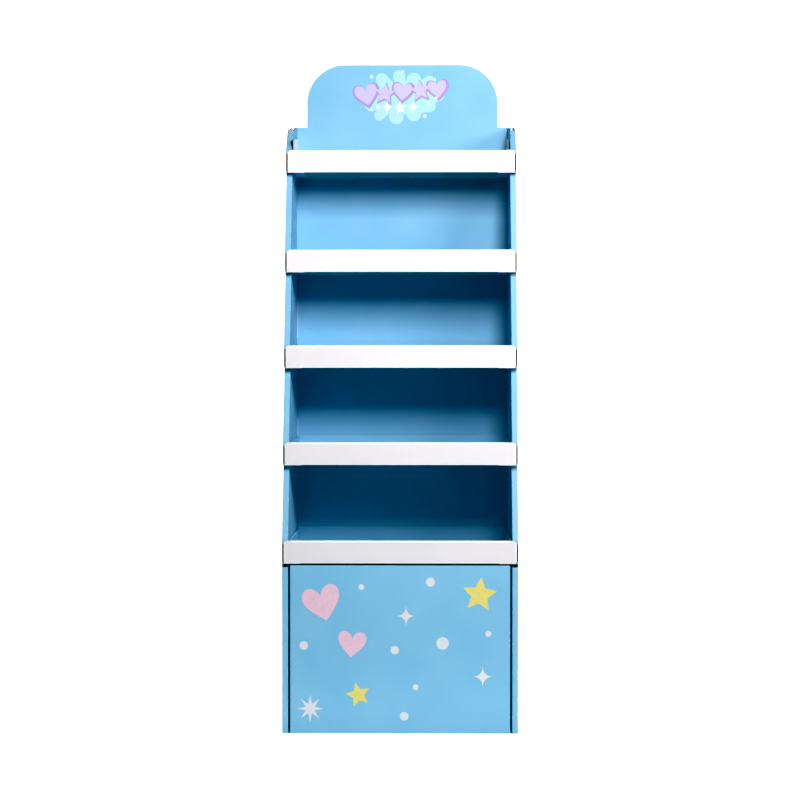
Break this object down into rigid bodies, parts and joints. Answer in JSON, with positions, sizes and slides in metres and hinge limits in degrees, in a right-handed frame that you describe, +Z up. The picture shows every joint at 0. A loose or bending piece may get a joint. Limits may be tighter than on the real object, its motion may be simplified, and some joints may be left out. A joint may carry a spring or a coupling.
{
  "type": "cardboard display stand",
  "caption": "Tall free-standing display stand folded from corrugated board, with stepped open shelves that have white lips, a rounded header card and a printed plinth.",
  "frame": {"origin": "middle of the overall footprint, on the floor", "axes": "+Z up, the open front faces -Y, +X to the right when looking at the front"},
  "size_m": [0.6, 0.4, 1.7465],
  "materials": {
    "printed_board": "litho-printed light blue corrugated board with a gloss varnish",
    "white_board": "white coated corrugated board, satin",
    "kraft_board": "unprinted brown kraft corrugated board, matt"
  },
  "bodies": {
    "root": {"left_side_wall": "printed_board", "right_side_wall": "printed_board", "back_panel": "printed_board", "header_card": "printed_board", "plinth_box": "printed_board", "shelf_tray_1": "printed_board", "shelf_tray_2": "printed_board", "shelf_tray_3": "printed_board", "shelf_tray_4": "printed_board", "shelf_tray_5": "white_board", "shelf_lip_1": "white_board", "shelf_lip_2": "white_board", "shelf_lip_3": "white_board", "shelf_lip_4": "white_board", "shelf_lip_5": "white_board", "plinth_divider_long": "kraft_board", "plinth_divider_left": "kraft_board", "plinth_divider_right": "kraft_board"}
  },
  "joints": []
}
